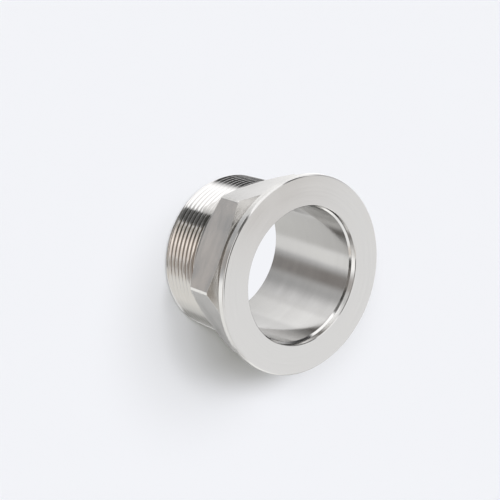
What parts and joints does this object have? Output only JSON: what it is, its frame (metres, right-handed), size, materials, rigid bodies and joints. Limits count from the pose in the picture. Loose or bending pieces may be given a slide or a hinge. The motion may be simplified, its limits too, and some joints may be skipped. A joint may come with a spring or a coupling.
{
  "type": "kf threaded adapter",
  "caption": "Round vacuum clamping flange joined through a hexagon to a male tapered pipe thread, with a straight bore right through.",
  "frame": {"origin": "centre of the end face of the thread, which is the part's lowest face", "axes": "+Z along the bore axis, from the threaded end to the sealing face of the flange; two of the six hexagon flats face along Y and two hexagon corners lie on X"},
  "size_m": [0.075, 0.075, 0.0448],
  "materials": {
    "stainless_steel": "fine turned and milled stainless steel, bright and unpainted"
  },
  "bodies": {
    "root": {"adapter_body": "stainless_steel"}
  },
  "joints": []
}
